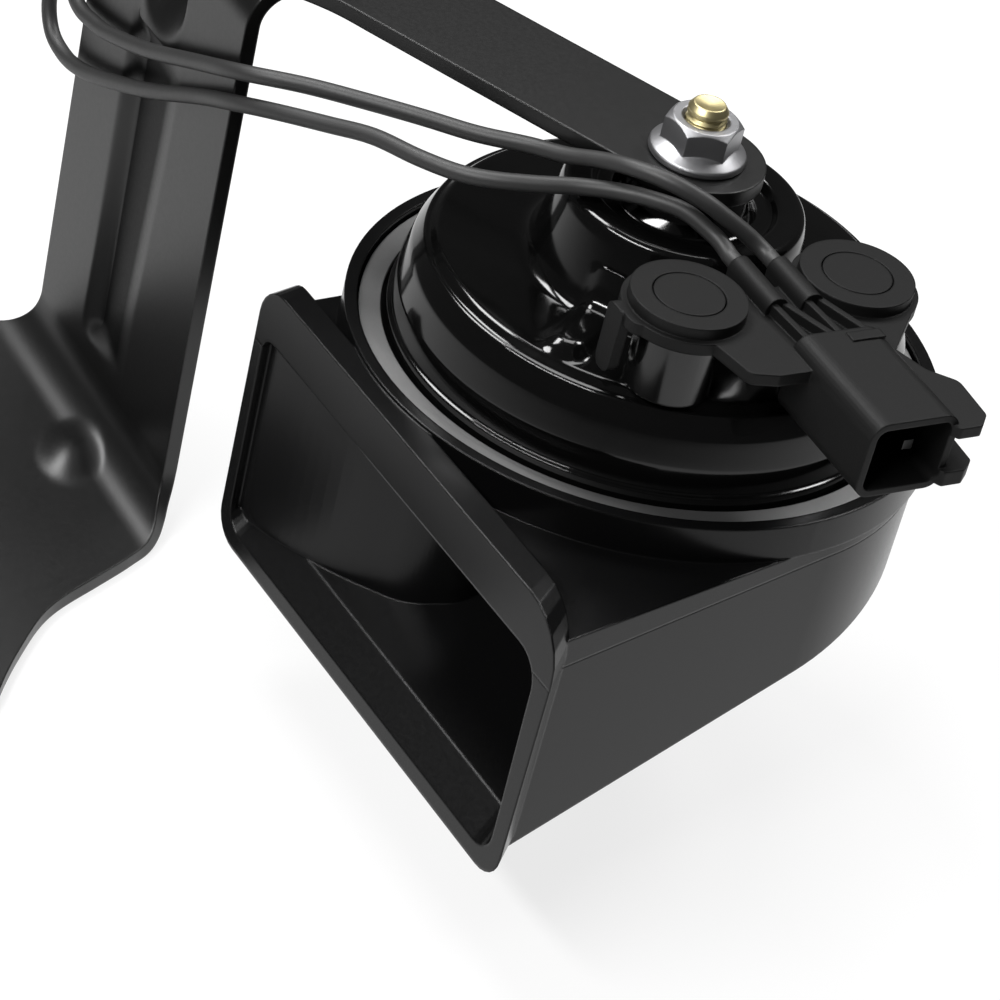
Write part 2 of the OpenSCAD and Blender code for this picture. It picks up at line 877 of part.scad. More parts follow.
module terminal_rivet(side) {
    at_terminal(side) {
        disc(rivet_r, deck_under - 0.8, bush_top);
        disc(rivet_r + 1.2, deck_under - 1.6, deck_under - 0.8);
    }
}
module terminal_rivet_left() { color([0.8, 0.7, 0.35]) terminal_rivet(-1); }
module terminal_rivet_right() { color([0.8, 0.7, 0.35]) terminal_rivet(1); }

module pin_bar(side, length) {
    translate([pin_back, socket_y + side * pin_pitch / 2 - pin_t / 2, pin_z - pin_t / 2])
        cube([length, pin_t, pin_t]);
}
module pin_left() { color([0.7, 0.7, 0.7]) in_horn() on_cover() pin_bar(-1, socket_depth + 1); }
module pin_right() { color([0.7, 0.7, 0.7]) in_horn() on_cover() pin_bar(1, socket_depth + 1); }

module socket_outline(w) {
    half = socket_w / 2 - w;
    polygon(rounded([
        [socket_y - half, socket_low + w, socket_round - w],
        [socket_y + half, socket_low + w, socket_round - w],
        [socket_y + half, socket_low + socket_h - w, socket_round - w],
        [socket_y - half, socket_low + socket_h - w, socket_round - w]], 8));
}

// Extrudes an outline drawn across the cover, along the cover
module lengthways(from, to) {
    translate([from, 0, 0])
        rotate([90, 0, 90])
            linear_extrude(to - from)
                children();
}

// Sleeves that lead the cords in, as [start, centre line]
sleeve_end = 4.4;
sleeve_r = 1.8;
lower_sleeve = [-6.1, -2];
upper_sleeve = [-5, 3.8];
sleeve_z = cover_z - 1.1;

module sleeve(at) {
    lengthways(at.x, sleeve_end) {
        translate([at.y, sleeve_z])
            circle(r = sleeve_r);
        translate([at.y - sleeve_r, bush_top])
            square([2 * sleeve_r, sleeve_z - bush_top]);
    }
}

// Thin upright strut between two points of the plan
strut_t = 1;
module strut(a, b) {
    translate([a.x, a.y, bush_top])
        rotate([0, 0, atan2(b.y - a.y, b.x - a.x)])
            translate([0, -strut_t / 2, 0])
                cube([norm(b - a), strut_t, sleeve_z - bush_top + 0.9]);
}

module fin(outline, low, t) {
    translate([0, 0, low])
        linear_extrude(t)
            polygon(rounded(outline));
}

// Plate that joins the caps, the sleeves and the socket
module cover_plate() {
    translate([0, 0, bush_top])
        linear_extrude(plate_top - bush_top)
            polygon(rounded([
                [-1.5, -terminal_pitch / 2 - 9.9, 2],
                [2.6, -terminal_pitch / 2 - 9.9, 2.5],
                [7.2, -14.9, 4],
                [12.1, -13.8, 2],
                [16.2, -12.9, 1.5],
                [17.4, -9, 1],
                [17.4, 9, 1],
                [12.4, 14, 3],
                [7, 19.5, 4],
                [2, terminal_pitch / 2 + 8.5, 3],
                [-1.5, terminal_pitch / 2 + 8.5, 2],
                [-1.5, 0, 0]]));
}

// Finger that grips the left bush from outside
finger_y = -terminal_pitch / 2 - 10.2;
module finger() {
    translate([-3.6, finger_y + 1.7, 0])
        rotate([90, 0, 0])
            linear_extrude(1.7)
                polygon(rounded([[0, 15.8, 1.6], [3.6, 15.8, 1.6], [3.9, plate_top, 1], [0, plate_top, 1]]));
}

module cover_body() {
    for (side = [-1, 1])
        translate([0, side * terminal_pitch / 2, 0]) {
            disc(cap_r, plate_top - 0.2, cover_z);
            disc(cap_r + 0.9, bush_top, plate_top);
        }
    cover_plate();
    finger();
    sleeve(lower_sleeve);
    sleeve(upper_sleeve);
    strut([sleeve_end - 1, lower_sleeve.y - 0.6], [socket_back + 1, socket_y - socket_w / 2 + 2]);
    strut([sleeve_end - 1, lower_sleeve.y + 0.9], [socket_back + 1, socket_y - 0.6]);
    strut([sleeve_end - 1, upper_sleeve.y - 0.9], [socket_back + 1, socket_y + 0.4]);
    strut([sleeve_end - 1, upper_sleeve.y + 0.9], [socket_back + 1, socket_y + socket_w / 2 - 2]);
    lengthways(socket_back, socket_end)
        socket_outline(0);
    lengthways(socket_back - 5, socket_back + 1)
        translate([socket_y - 5, socket_low + 1.5])
            square([10, plate_top - socket_low - 1.5]);
    // Fins that fold beside the socket
    fin([[15, 8, 0], [15, 10.6, 1], [20.6, 12.6, 3], [24, 15.9, 2], [31.6, 15.4, 1.5], [33.7, 13.4, 0.8],
        [33.7, 9.9, 0.5], [31, 8, 0]], bush_top + 0.4, 1.7);
    fin([[18, 8, 0], [19, 10.6, 1], [25, 15.4, 2], [32, 15, 1], [33.7, 12.9, 0.8], [33.7, 9.6, 0.5],
        [31, 8, 0]], socket_low + 0.8, 2.3);
    // Raised bar over the socket's back
    translate([socket_back + 1, socket_y + 0.4, cover_z])
        cube([1.9, 5.4, 0.5]);
}

module terminal_cover() {
    color([0.06, 0.06, 0.06])
        in_horn()
            on_cover()
                difference() {
                    cover_body();
                    for (side = [-1, 1])
                        translate([0, side * terminal_pitch / 2, 0])
                            disc(plug_r + 0.2, cover_z - 1.2, cover_z + cut);
                    lengthways(socket_end - socket_depth, socket_end + 2 * cut)
                        socket_outline(socket_wall);
                    for (side = [-1, 1])
                        pin_bar(side, socket_depth);
                }
}

// Back end and length of the plug on the top flange, and the height of the leads there
plug_x = -76;
plug_len = 18;
lead_z = strap_top + 2.3;

// Routes of the leads from the terminal cover to their plug, about the horn's axis
lower_exit = from_cover([lower_sleeve.x, lower_sleeve.y, sleeve_z]);
lower_run = from_cover([lower_sleeve.x - 0.6, lower_sleeve.y, sleeve_z]);
lower_out = from_cover([lower_sleeve.x - 1.2, lower_sleeve.y, sleeve_z]);
upper_exit = from_cover([upper_sleeve.x, upper_sleeve.y, sleeve_z]);
upper_run = from_cover([upper_sleeve.x - 0.6, upper_sleeve.y, sleeve_z]);
upper_out = from_cover([upper_sleeve.x - 1.2, upper_sleeve.y, sleeve_z]);
lower_route = [lower_exit, lower_run, lower_out, [17.1, -4.33, 27], [15.8, -4.4, 27.4], [14.5, -4.7, 27.9],
    [13, -5.3, 28.4], [9.4, -7.4, 29.7], [6, -9.9, 29.7], [1.5, -13, 28.8], [-2.5, -17.2, 27.8],
    [-5.5, -22, 27], [-9, -27, 26.2], [-13, -30.5, 25.4], [-19, -33.5, 24.6], [-27, -36, 23.4],
    [-34, -39, 21.4], [-42, -42.5, 19], [-50, -44.4, 15.8], [-61.5, -43.6, 9.8], [-77, -43, 1.2],
    [-93.5, -42.2, -6.6], [-101, -41.8, -9.4], [-107, -41.2, -10.6], [-112, -41, -9.4], [-115, -40.6, -5.2],
    [-116, -39.6, 2], [-115.5, -37.6, 12], [-114.5, -34.8, 23], [-112, -32, 31], [-107, -29.6, 35.8],
    [-100, -28.3, 36], [-92, -28, 35], [-84, -28, lead_z], [plug_x, -28, lead_z]];
upper_route = [upper_exit, upper_run, upper_out, [18.6, 1.33, 27], [17.3, 0.95, 27.4], [16.2, 0.15, 28.1],
    [15.2, -1.1, 29.1], [13.3, -3.7, 30.9], [11, -6.3, 32.5], [7.2, -9.8, 33.7], [2.3, -12.4, 33.2],
    [-2.9, -14, 31.4], [-8.4, -16.1, 29.1], [-14, -18.6, 27.6], [-20, -23.4, 26.4], [-27, -28, 25.4],
    [-34, -33, 24.4], [-42, -38.6, 23], [-50.5, -44.3, 20.8], [-63.5, -43.8, 14.6], [-79, -43, 7.2],
    [-92.5, -42.2, 2], [-98, -41.8, 0.6], [-103, -41.4, -0.2], [-107, -40.8, 0.4], [-110, -40, 3.6],
    [-111.2, -38, 11], [-111, -34.6, 21], [-109.8, -30.2, 29.4], [-106, -26.4, 34.8], [-99.5, -24.4, 35.4],
    [-92, -24, 34.8], [-84, -24, lead_z], [plug_x, -24, lead_z]];

// Sweeps a round cord along a route; its cross-section turns with the route
function side_of(t) = unit(cross(t, abs(t.z) > 0.9 ? [1, 0, 0] : [0, 0, 1]));
function tangent(p, i) = unit(p[min(i + 1, len(p) - 1)] - p[max(i - 1, 0)]);
function spline(p, i, s) =
    let (a = p[max(i - 1, 0)], b = p[i], c = p[i + 1], d = p[min(i + 2, len(p) - 1)])
    ((2 * b) + (c - a) * s + (2 * a - 5 * b + 4 * c - d) * s * s + (3 * b - a - 3 * c + d) * s * s * s) / 2;
function smooth(p, n) = concat(
    [for (i = [0:len(p) - 2]) each [for (k = [0:n - 1]) spline(p, i, k / n)]],
    [p[len(p) - 1]]);

module cord(route, d) {
    sides = 8;
    p = smooth(route, 2);
    rings = len(p);
    points = [for (i = [0:rings - 1])
        let (t = tangent(p, i), u = side_of(t), v = cross(t, u))
        each [for (k = [0:sides - 1]) p[i] + d / 2 * (cos(360 * k / sides) * u + sin(360 * k / sides) * v)]];
    walls = [for (i = [0:rings - 2])
        each [for (k = [0:sides - 1])
            [i * sides + k, i * sides + (k + 1) % sides, (i + 1) * sides + (k + 1) % sides, (i + 1) * sides + k]]];
    ends = [[for (k = [sides - 1:-1:0]) k], [for (k = [0:sides - 1]) (rings - 1) * sides + k]];
    polyhedron(points, concat(walls, ends), convexity = 10);
}

module lead_lower() { color([0.03, 0.03, 0.03]) in_horn() cord(lower_route, lead_d); }
module lead_upper() { color([0.03, 0.03, 0.03]) in_horn() cord(upper_route, lead_d); }

module lead_plug() {
    color([0.08, 0.08, 0.08])
        in_horn()
            difference() {
                union() {
                    translate([plug_x, -31, strap_top])
                        cube([plug_len, 10, 7]);
                    translate([plug_x + 4, -27.5, strap_top + 7])
                        cube([10, 3, 1.6]);
                }
                for (y = [-28, -24])
                    translate([plug_x + plug_len - 2, y - 1.2, strap_top + 2.2])
                        cube([2 + cut, 2.4, 2.4]);
            }
}

trumpet_top();
trumpet_duct();
gasket();
diaphragm();
clamp_ring();
housing();
core_stud();
armature();
armature_washer();
coil_bobbin();
coil_winding();
breaker_bracket();
breaker_insulators();
breaker_rivet();
fixed_arm();
moving_arm();
fixed_contact();
moving_contact();
bracket();
flange_nut();
terminal_cover();
cap_plug_left();
cap_plug_right();
terminal_bush_left();
terminal_bush_right();
terminal_rivet_left();
terminal_rivet_right();
pin_left();
pin_right();
lead_lower();
lead_upper();
lead_plug();
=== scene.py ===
import json
import math
from collections import namedtuple
import bpy
from mathutils import Matrix, Vector


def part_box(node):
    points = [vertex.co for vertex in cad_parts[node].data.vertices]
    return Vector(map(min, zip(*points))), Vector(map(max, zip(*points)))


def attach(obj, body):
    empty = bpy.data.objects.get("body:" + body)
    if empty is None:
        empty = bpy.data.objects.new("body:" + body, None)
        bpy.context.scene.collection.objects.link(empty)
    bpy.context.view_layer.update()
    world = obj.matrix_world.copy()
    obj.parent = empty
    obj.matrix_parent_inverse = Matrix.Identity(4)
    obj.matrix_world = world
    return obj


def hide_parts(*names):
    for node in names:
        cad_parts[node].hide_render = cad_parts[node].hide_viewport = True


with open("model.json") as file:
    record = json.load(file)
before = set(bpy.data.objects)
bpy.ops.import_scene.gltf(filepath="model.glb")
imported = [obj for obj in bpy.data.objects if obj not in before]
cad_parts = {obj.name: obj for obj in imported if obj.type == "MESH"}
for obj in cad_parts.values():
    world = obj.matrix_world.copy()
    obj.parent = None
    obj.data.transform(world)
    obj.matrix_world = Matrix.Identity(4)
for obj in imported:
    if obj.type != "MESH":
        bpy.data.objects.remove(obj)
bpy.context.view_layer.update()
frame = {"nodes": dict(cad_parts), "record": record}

MM = 0.001
# The horn's axis at the rim's top, in the part's frame
HORN = Vector((66.0, 86.0, 66.4)) * MM


def at_horn(x, y, z):
    """A point given in millimetres about the horn's axis, in the part's frame."""
    return Vector((x, y, z)) * MM + HORN


# Camera
CAMERA_AT = at_horn(329.6, -296.4, 286.7)
CAMERA_AZIMUTH = 49.94
CAMERA_ELEVATION = 35.96
CAMERA_ROLL = 14.36
CAMERA_LENS = 129.6
SENSOR = 36.0
CAMERA_CLIP = (0.01, 20.0)


def make_camera():
    az, el, roll = (math.radians(a) for a in (CAMERA_AZIMUTH, CAMERA_ELEVATION, CAMERA_ROLL))
    back = Vector((math.sin(az) * math.cos(el), -math.cos(az) * math.cos(el), math.sin(el)))
    right = Vector((math.cos(az), math.sin(az), 0.0))
    up = back.cross(right)
    side = math.cos(roll) * right + math.sin(roll) * up
    top = math.cos(roll) * up - math.sin(roll) * right
    data = bpy.data.cameras.new("camera")
    data.lens = CAMERA_LENS
    data.sensor_width = SENSOR
    data.clip_start, data.clip_end = CAMERA_CLIP
    camera = bpy.data.objects.new("camera", data)
    turn = Matrix((side, top, back)).transposed().to_4x4()
    camera.matrix_world = Matrix.Translation(CAMERA_AT) @ turn
    bpy.context.scene.collection.objects.link(camera)
    bpy.context.scene.camera = camera


make_camera()

# Leads, on the routes of part.scad's own leads, in millimetres about the horn's axis
LEAD_D = 2.5 * MM
LEAD_STEPS = 6
COVER_AT = (25.8, -2.9)
COVER_TURN = math.radians(-4.1)


def from_cover(x, y, z):
    """A point given in the terminal cover's own directions, about the horn's axis."""
    c, s = math.cos(COVER_TURN), math.sin(COVER_TURN)
    return (COVER_AT[0] + x * c - y * s, COVER_AT[1] + x * s + y * c, z)


SLEEVE_Z = 26.9
FLANGE_LEAD_Z = 34.6
LOWER_ROUTE = [
    from_cover(-6.1, -2, SLEEVE_Z), from_cover(-6.7, -2, SLEEVE_Z), from_cover(-7.3, -2, SLEEVE_Z),
    (17.1, -4.33, 27), (15.8, -4.4, 27.4), (14.5, -4.7, 27.9), (13, -5.3, 28.4), (9.4, -7.4, 29.7),
    (6, -9.9, 29.7), (1.5, -13, 28.8), (-2.5, -17.2, 27.8), (-5.5, -22, 27), (-9, -27, 26.2),
    (-13, -30.5, 25.4), (-19, -33.5, 24.6), (-27, -36, 23.4), (-34, -39, 21.4), (-42, -42.5, 19),
    (-50, -44.4, 15.8), (-61.5, -43.6, 9.8), (-77, -43, 1.2), (-93.5, -42.2, -6.6), (-101, -41.8, -9.4),
    (-107, -41.2, -10.6), (-112, -41, -9.4), (-115, -40.6, -5.2), (-116, -39.6, 2), (-115.5, -37.6, 12),
    (-114.5, -34.8, 23), (-112, -32, 31), (-107, -29.6, 35.8), (-100, -28.3, 36), (-92, -28, 35),
    (-84, -28, FLANGE_LEAD_Z), (-76, -28, FLANGE_LEAD_Z)]
UPPER_ROUTE = [
    from_cover(-5, 3.8, SLEEVE_Z), from_cover(-5.6, 3.8, SLEEVE_Z), from_cover(-6.2, 3.8, SLEEVE_Z),
    (18.6, 1.33, 27), (17.3, 0.95, 27.4), (16.2, 0.15, 28.1), (15.2, -1.1, 29.1), (13.3, -3.7, 30.9),
    (11, -6.3, 32.5), (7.2, -9.8, 33.7), (2.3, -12.4, 33.2), (-2.9, -14, 31.4), (-8.4, -16.1, 29.1),
    (-14, -18.6, 27.6), (-20, -23.4, 26.4), (-27, -28, 25.4), (-34, -33, 24.4), (-42, -38.6, 23),
    (-50.5, -44.3, 20.8), (-63.5, -43.8, 14.6), (-79, -43, 7.2), (-92.5, -42.2, 2), (-98, -41.8, 0.6),
    (-103, -41.4, -0.2), (-107, -40.8, 0.4), (-110, -40, 3.6), (-111.2, -38, 11), (-111, -34.6, 21),
    (-109.8, -30.2, 29.4), (-106, -26.4, 34.8), (-99.5, -24.4, 35.4), (-92, -24, 34.8),
    (-84, -24, FLANGE_LEAD_Z), (-76, -24, FLANGE_LEAD_Z)]


def spline_point(p, i, s):
    """Catmull-Rom point at share s between points i and i + 1."""
    a, b, c, d = p[max(i - 1, 0)], p[i], p[i + 1], p[min(i + 2, len(p) - 1)]
    return (2 * b + (c - a) * s + (2 * a - 5 * b + 4 * c - d) * s * s + (3 * b - a - 3 * c + d) * s ** 3) / 2


def smooth_route(route, steps):
    p = [at_horn(*q) for q in route]
    out = [spline_point(p, i, k / steps) for i in range(len(p) - 1) for k in range(steps)]
    return out + [p[-1]]


def cos_sin(degrees):
    return math.cos(math.radians(degrees)), math.sin(math.radians(degrees))


def new_object(name, verts, faces):
    mesh = bpy.data.meshes.new(name)
    mesh.from_pydata(verts, [], faces)
    piece = bpy.data.objects.new(name, mesh)
    bpy.context.scene.collection.objects.link(piece)
    return piece


def smooth_up_to(piece, degrees):
    """Smooth shading, with the edges sharper than this left sharp."""
    piece.data.shade_smooth()
    piece.data.set_sharp_from_angle(angle=math.radians(degrees))


def band(a, b, sides):
    """Faces between the closed rings of points that start at a and b."""
    return [(a + k, a + (k + 1) % sides, b + (k + 1) % sides, b + k) for k in range(sides)]


def caps(last, sides):
    """Faces that close the first ring and the ring of points that starts at last."""
    return [tuple(reversed(range(sides))), tuple(range(last, last + sides))]


def tube(name, path, radius, sides=24):
    """A closed round tube along a path."""
    verts, faces = [], []
    normal = Vector((0, 0, 1))
    for i, q in enumerate(path):
        t = (path[min(i + 1, len(path) - 1)] - path[max(i - 1, 0)]).normalized()
        normal = (normal - t * normal.dot(t)).normalized()
        other = t.cross(normal)
        for k in range(sides):
            a = 2 * math.pi * k / sides
            verts.append(q + radius * (math.cos(a) * normal + math.sin(a) * other))
    for i in range(len(path) - 1):
        faces += band(i * sides, (i + 1) * sides, sides)
    piece = new_object(name, verts, faces + caps((len(path) - 1) * sides, sides))
    piece.data.shade_smooth()
    return piece


def turned(name, rings, sides, sharp=30, closed=False):
    """Turns rings about the horn's axis; each ring gives (radius, height) at an angle in degrees.

    The last ring is joined to the first if closed; otherwise both are capped."""
    verts, faces = [], []
    for ring in rings:
        for k in range(sides):
            a = 360.0 * k / sides
            r, z = ring(a)
            c, s = cos_sin(a)
            verts.append(at_horn(r * c, r * s, z))
    for i in range(len(rings) if closed else len(rings) - 1):
        faces += band(i * sides, (i + 1) % len(rings) * sides, sides)
    if not closed:
        faces += caps((len(rings) - 1) * sides, sides)
    piece = new_object(name, verts, faces)
    smooth_up_to(piece, sharp)
    return piece


def circle(r, z):
    return lambda a: (r, z)


def low_of(node):
    """Height of a CAD node's underside about the horn's axis, in millimetres."""
    return (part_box(node)[0][2] - HORN.z) / MM


def stand_for(piece, node):
    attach(piece, "root")
    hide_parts(node)
    return piece


def make_lead(name, route, node):
    path = smooth_route(route, LEAD_STEPS)
    piece = stand_for(tube(name, path, LEAD_D / 2), node)
    return piece


nodes = frame["nodes"]
leads = [
    make_lead("lead_lower_sheath", LOWER_ROUTE, "lead_lower"),
    make_lead("lead_upper_sheath", UPPER_ROUTE, "lead_upper")]

# Stud: fixed core, collar, shank and thread
CORE_R, CORE_TOP = 5.8, 24.8
COLLAR_R, COLLAR_TOP = 5.0, 28.7
SHANK_R = 2.9
STUD_R = 3.0
STUD_TOP = 40.7
PITCH = 1.0
THREAD_DEPTH = 0.55
THREAD_ROW = 0.08
STUD_SIDES = 72
# The thread stops this far below the stud's end, and fades out over this height
THREAD_END = 0.9
THREAD_FADE = 0.6
# Radius, and depth below the stud's end, of its rounded and dimpled tip
STUD_TIP = [(2.95, THREAD_END), (2.9, 0.8), (2.5, 0.25), (2.35, 0.05), (2.2, 0), (2.05, 0.04), (1.0, 0.3),
            (0.3, 0.42)]
# Top of the strap, where the nut sits
SEAT_TOP = 32.3


def step(a, b, x):
    """A soft step from 0 at a to 1 at b."""
    t = max(0.0, min(1.0, (x - a) / (b - a)))
    return t * t * (3 - 2 * t)


def threaded(z):
    """A ring of the stud whose radius follows the thread."""
    ends = min(1.0, max(0.0, (STUD_TOP - THREAD_END - z) / THREAD_FADE))
    return lambda a: (STUD_R - ends * THREAD_DEPTH * abs(2 * ((z / PITCH - a / 360.0) % 1.0) - 1), z)


def make_stud():
    rings = [circle(CORE_R, low_of("core_stud")), circle(CORE_R, CORE_TOP), circle(COLLAR_R, CORE_TOP),
             circle(COLLAR_R, COLLAR_TOP), circle(SHANK_R, COLLAR_TOP), circle(SHANK_R, SEAT_TOP)]
    rows = int((STUD_TOP - THREAD_END - SEAT_TOP) / THREAD_ROW)
    rings += [threaded(SEAT_TOP + THREAD_ROW * i) for i in range(1, rows)]
    rings += [circle(r, STUD_TOP - low) for r, low in STUD_TIP]
    return stand_for(turned("stud_threaded", rings, STUD_SIDES), "core_stud")


stud = make_stud()

# Flange nut: bore, hexagon with a crown, and dished flange
NUT_TOP = 38.3
NUT_BORE_R = 3.05
NUT_CHAMFER = 0.5
NUT_AF = 10.0
CROWN_R = 4.7
CROWN_SLOPE = 0.8
# Where the hexagon's foot meets the flange, and how the flange rises towards it
HEX_FOOT_R = 6.6
HEX_FOOT_H = 1.4
HEX_FOOT_SLOPE = 0.6
NUT_FLANGE = 7.1
NUT_SIDES = 180
NUT_SHARP = 22
# Radius and height of the flange's edge, from its top to its underside
FLANGE_EDGE = [(6.95, 1.15), (NUT_FLANGE, 0.85), (NUT_FLANGE, 0.3), (NUT_FLANGE - 0.25, 0)]


def hex_r(a):
    return NUT_AF / 2 / math.cos(math.radians(a % 60 - 30))


def make_nut():
    rings = [circle(NUT_BORE_R, SEAT_TOP), circle(NUT_BORE_R, NUT_TOP - NUT_CHAMFER),
             circle(NUT_BORE_R + NUT_CHAMFER, NUT_TOP), circle(CROWN_R, NUT_TOP),
             lambda a: (hex_r(a), NUT_TOP - CROWN_SLOPE * (hex_r(a) - CROWN_R)),
             lambda a: (hex_r(a), SEAT_TOP + HEX_FOOT_H + HEX_FOOT_SLOPE * (HEX_FOOT_R - hex_r(a))),
             circle(HEX_FOOT_R, SEAT_TOP + HEX_FOOT_H)]
    rings += [circle(r, SEAT_TOP + z) for r, z in FLANGE_EDGE]
    return stand_for(turned("nut_flanged", rings, NUT_SIDES, NUT_SHARP, True), "flange_nut")


nut = make_nut()

# Housing: pressed shell turned in fine steps, with its pressed rib
FLANGE_R = 42.4
WALL_R = 38.5
DOME_R = 37.8
DECK_Z = 13.4
DECK_R = DOME_R - 4.4
BOSS_R = 17.6
BOSS_Z = 26.0
GROOVE_Z = BOSS_Z - 1.5
SEAT_R = 7.6
SEAT_Z = 29.9
SHELL_HOLE_R = 3.1
SHELL_T = 1.2
# Longest step along the shell's line, steps round a fillet, sides, and sharpest edge shaded smooth
SHELL_STEP = 0.9
FILLET_STEPS = 8
SHELL_SIDES = 240
SHELL_SHARP = 50
# A fillet takes at most this share of the line on either side
FILLET_SHARE = 0.48
RIB_TURN = -62.0
RIB_W = 6.8
RIB_H = 1.7
RIB_END = DOME_R - 8.4
# The rib falls off between these distances from its middle line, and reaches this far in height
RIB_SIDE = (RIB_W * 0.22, RIB_W * 0.6)
RIB_REACH = 6


def rounded_line(points, steps):
    """Points (r, z, fillet) as a line with its corners rounded."""
    out = []
    for i, (x, y, r) in enumerate(points):
        if r == 0 or i in (0, len(points) - 1):
            out.append((x, y))
            continue
        ax, ay = points[i - 1][0] - x, points[i - 1][1] - y
        bx, by = points[i + 1][0] - x, points[i + 1][1] - y
        la, lb = math.hypot(ax, ay), math.hypot(bx, by)
        ax, ay, bx, by = ax / la, ay / la, bx / lb, by / lb
        half = math.acos(max(-1.0, min(1.0, ax * bx + ay * by))) / 2
        reach = min(r / math.tan(half), FILLET_SHARE * la, FILLET_SHARE * lb)
        for k in range(steps + 1):
            t = k / steps
            p = (1 - t) * (1 - t) * reach
            q = t * t * reach
            out.append((x + ax * p + bx * q, y + ay * p + by * q))
    return out


def rib_height(r, a):
    off = math.radians((a - RIB_TURN + 180) % 360 - 180)
    along_rib, beside = r * math.cos(off), r * math.sin(off)
    if along_rib < 0:
        return 0.0
    past = max(0.0, along_rib - RIB_END)
    return RIB_H * (1 - step(*RIB_SIDE, math.hypot(past, beside)))


def ribbed(r, z, drop):
    """A ring of the shell that carries the rib where it lies on the deck."""
    on_deck = BOSS_R < r < DECK_R and abs(z + drop - DECK_Z) < RIB_REACH
    return lambda a: (r, z + (rib_height(r, a) if on_deck else 0.0))


def make_housing():
    ring_z = low_of("clamp_ring")
    face = rounded_line([
        (FLANGE_R, ring_z, 0), (WALL_R, ring_z, 0.5), (WALL_R, 0.4, 0.35), (DOME_R + 0.1, 0.6, 0.7),
        (DOME_R, 4.6, 3), (DOME_R - 1.1, 9.4, 5), (DOME_R - 2.6, DECK_Z - 1.1, 1.2),
        (DOME_R - 3.3, DECK_Z - 1, 0.8), (DECK_R, DECK_Z, 1.2), (BOSS_R + 2.8, DECK_Z, 3),
        (BOSS_R + 0.4, BOSS_Z - 2, 8), (BOSS_R - 0.2, BOSS_Z, 1.6), (13.6, BOSS_Z, 0.8), (12.8, GROOVE_Z, 0.8),
        (10.6, GROOVE_Z, 1), (9.4, BOSS_Z, 1.2), (SEAT_R, SEAT_Z, 0.8),
        (SHELL_HOLE_R, SEAT_Z, 0)], FILLET_STEPS)
    fine = [face[0]]
    for (r0, z0), (r1, z1) in zip(face, face[1:]):
        parts = max(1, int(math.hypot(r1 - r0, z1 - z0) / SHELL_STEP))
        fine += [(r0 + (r1 - r0) * k / parts, z0 + (z1 - z0) * k / parts) for k in range(1, parts + 1)]
    under = []
    for i, (r, z) in enumerate(fine):
        (r0, z0), (r1, z1) = fine[max(i - 1, 0)], fine[min(i + 1, len(fine) - 1)]
        length = math.hypot(r1 - r0, z1 - z0)
        under.append((r - SHELL_T * (z1 - z0) / length, z + SHELL_T * (r1 - r0) / length))
    rings = [ribbed(r, z, 0) for r, z in fine] + [ribbed(r, z, SHELL_T) for r, z in reversed(under)]
    return stand_for(turned("housing_shell", rings, SHELL_SIDES, SHELL_SHARP, True), "housing")


housing = make_housing()

# Bracket: one sheet laid out in rows from the foot's front edge to the strap's end.
# Its own directions are s to the right along the leg, n behind the leg's outer face, and z up.
LEG_AT = (-55.3, -42.0)
LEG_TURN = -3
LEG_LEFT = -50.3
SHEET = 2.4
FOOT_TOP = -64.0
FOOT_FRONT = -57
LOW_R = 7.5
TOP_R = 7.4
STRAP_TURN = math.radians(202.3)
STRAP_HALF = 10.2
# Back edge of the flange above the leg, and its rounded corner
FLANGE_BACK = 28.0
CORNER_R = 6.0
# Where the flange's right edge has run into the strap's
STRAP_MEET = 14.0
ACROSS = 101
FOOT_ROWS = 100
LOW_ROWS = 30
LEG_ROWS = 160
TOP_ROWS = 20
STRAP_ROWS = 30
BRACKET_SHARP = 40
# Raised pressing beside the low bend: middle, half sizes, turn in degrees and height
PRESSING_AT = (-16.5, -8.0)
PRESSING_HALF = (9.5, 6.0)
PRESSING_TURN = 150.0
PRESSING_HEIGHT = 1.7
# How softly pressed forms rise out of the sheet
SOFT = 0.6
# Dent over the upper bend: middle, half width, lowest point, slope, rise of its sides, most depth, how
# steep its sides are, and the height below which there is none
DENT_S = -25.4
DENT_HALF = 7.2
DENT_LOW = 9.0
DENT_SLOPE = 0.53
DENT_RISE = 4.5
DENT_MOST = 9.0
DENT_FIRM = 1.6
DENT_FROM_Z = 8
# Channel in the leg: its left wall's top and foot, its right side, depth, the floor's hollowness towards
# the right, and the soft ends' heights
CHANNEL_LEFT = -34.6
CHANNEL_FLOOR = -31.0
CHANNEL_RIGHT = -16.0
CHANNEL_DEEP = 1.9
CHANNEL_SAG = 0.35
CHANNEL_LOW_END = (-53.5, -49)
CHANNEL_TOP_END = (4, 10)
# The right side leans in by this much, from the first height down to the second
CHANNEL_LEAN = 2.1
LEAN_Z = (3, -48)
# Heights of the painted shade's ends on the channel's floor, and how it fades over the channel's left and right
# sides
SHADE_LOW_END = (-52, -50)
SHADE_TOP_END = (3, 8)
SHADE_LEFT = (-0.6, 0.2)
SHADE_RIGHT = (-4.5, -0.5)

# Right and left edges of the foot, by place behind the leg
FOOT_RIGHT = [
    (FOOT_FRONT, 33.5), (-56.3, 36), (-54, 38), (-50, 38.4), (-47, 38.2), (-44, 37.4), (-41.8, 35.4),
    (-38.7, 31.5), (-35, 27.2), (-28.9, 20.9), (-24.3, 17.6), (-16, 13.7), (-10.6, 11.2), (-LOW_R, 9.6)]
FOOT_LEFT = [
    (FOOT_FRONT, -54), (-56.2, -56.5), (-54.5, -58.7), (-51, -60), (-20, -60), (-15.5, -59.4), (-11, -57),
    (-LOW_R, -54.4)]
